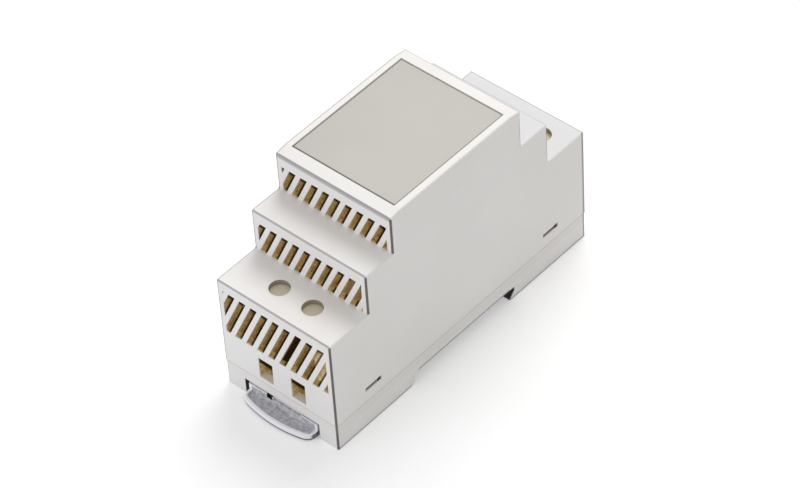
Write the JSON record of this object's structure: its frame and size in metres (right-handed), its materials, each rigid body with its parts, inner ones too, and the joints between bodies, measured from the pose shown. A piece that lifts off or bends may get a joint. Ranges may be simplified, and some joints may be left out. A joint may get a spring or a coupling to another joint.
{
  "type": "din rail enclosure",
  "caption": "Modular plastic housing with stepped, vented ends, an inset front panel, a hollow inside for a circuit board and a sprung clip that grips a 35 mm mounting rail.",
  "frame": {"origin": "middle of the rail seat, the flat underside of the base that the rail's flanges bear on", "axes": "+X along the rail, +Y from the clip end towards the fixed hook, +Z away from the rail, towards the front panel"},
  "size_m": [0.035, 0.0939, 0.058],
  "materials": {
    "housing_plastic": "fine satin texture, light warm grey",
    "panel_plastic": "fine satin texture, warm grey",
    "clip_plastic": "smooth, cool mid grey",
    "spring_steel": "bright drawn wire"
  },
  "bodies": {
    "housing": {"base": "housing_plastic", "cover": "housing_plastic", "front_panel": "panel_plastic", "clip_spring": "spring_steel"},
    "clip": {"rail_clip": "clip_plastic"}
  },
  "joints": [
    {"name": "clip_slide", "type": "slide", "parent": "housing", "child": "clip", "axis": [0, -1, 0], "range_m": [0, 0.0032], "stiffness_N_per_m": 1200, "springref_m": -0.003, "deforming": ["clip_spring"]}
  ]
}
